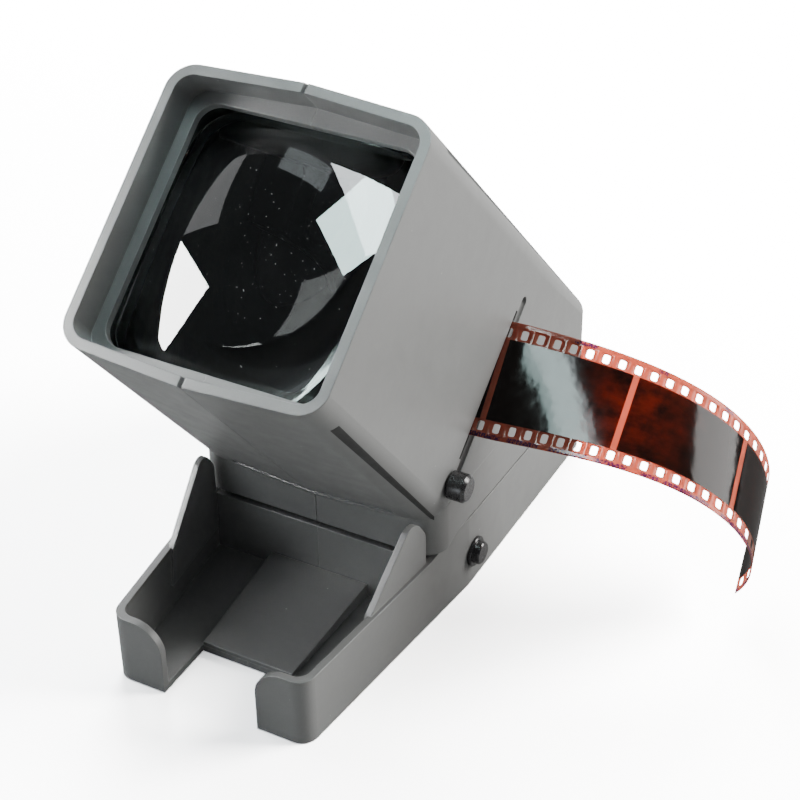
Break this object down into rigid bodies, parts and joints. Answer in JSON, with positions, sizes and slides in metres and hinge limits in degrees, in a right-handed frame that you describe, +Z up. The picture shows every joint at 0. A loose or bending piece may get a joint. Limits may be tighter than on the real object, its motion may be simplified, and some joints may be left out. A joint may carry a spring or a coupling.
{
  "type": "slide viewer",
  "caption": "Desktop slide and film viewer: square magnifying hood tilted over a flat battery base with a catch tray, knobs at the sides and a film strip in the slit.",
  "frame": {"origin": "middle of the base's footprint, on the table plane", "axes": "+X to the user's right, +Y from the tray to the back, +Z up; the hood faces -Y and up"},
  "size_m": [0.1639, 0.1626, 0.1614],
  "materials": {
    "shell": "fine matt texture",
    "black_plastic": "satin",
    "knob": "smooth satin",
    "steel": "plain",
    "battery": "printed sleeve, no marks",
    "rubber": "matt",
    "lens": "polished",
    "opal": "opal",
    "white_plastic": "satin",
    "board": "solder mask",
    "led": "clear yellow",
    "wire": "insulation",
    "film": "glossy, see-through"
  },
  "bodies": {
    "base": {"base_shell_left": "shell", "base_shell_right": "shell", "tray_ramp": "shell", "light_switch": "black_plastic", "head_return_spring": "steel", "batteries": "battery", "battery_contacts_front": "steel", "battery_contacts_rear": "steel", "rubber_feet": "rubber", "base_screws": "steel", "hinge_pin_left": "knob", "hinge_pin_right": "knob"},
    "head": {"head_shell_left": "shell", "head_shell_right": "shell", "magnifier_lens": "lens", "gate_frame": "black_plastic", "pressure_springs": "steel", "light_diffuser": "opal", "light_box": "white_plastic", "led_board": "board", "leds": "led", "led_wires": "wire", "release_spring_left": "steel", "release_spring_right": "steel", "head_locating_pins": "steel"},
    "release_knob_left": {"release_knob_left": "knob"},
    "release_knob_right": {"release_knob_right": "knob"},
    "switch_plunger": {"switch_plunger": "white_plastic"},
    "battery_cover": {"battery_cover": "shell"},
    "film_strip": {"film_strip": "film"}
  },
  "joints": [
    {"name": "head_rock", "type": "hinge", "parent": "base", "child": "head", "pos_m": [0, 0.0025, 0.0105], "axis": [1, 0, 0], "range_deg": [0, 1.2], "stiffness_Nm_per_rad": 6, "springref_deg": -1.72, "deforming": ["head_return_spring"]},
    {"name": "release_left", "type": "slide", "parent": "head", "child": "release_knob_left", "axis": [-1, 0, 0], "range_m": [0, 0.0045], "stiffness_N_per_m": 150, "springref_m": -0.004, "deforming": ["release_spring_left"]},
    {"name": "release_right", "type": "slide", "parent": "head", "child": "release_knob_right", "axis": [1, 0, 0], "range_m": [0, 0.0045], "stiffness_N_per_m": 150, "springref_m": -0.004, "deforming": ["release_spring_right"]},
    {"name": "switch_press", "type": "slide", "parent": "base", "child": "switch_plunger", "axis": [0, 0, -1], "range_m": [0, 0.0004]},
    {"name": "battery_cover_slide", "type": "slide", "parent": "base", "child": "battery_cover", "axis": [0, 1, 0], "range_m": [0, 0.065]},
    {"name": "film_pull", "type": "slide", "parent": "head", "child": "film_strip", "axis": [0.9975, 0.0551, 0.0443], "range_m": [0, 0.085]}
  ],
  "couplings": [
    {"joint": "switch_press", "follows": "head_rock", "m_per_rad": 0.0175}
  ]
}
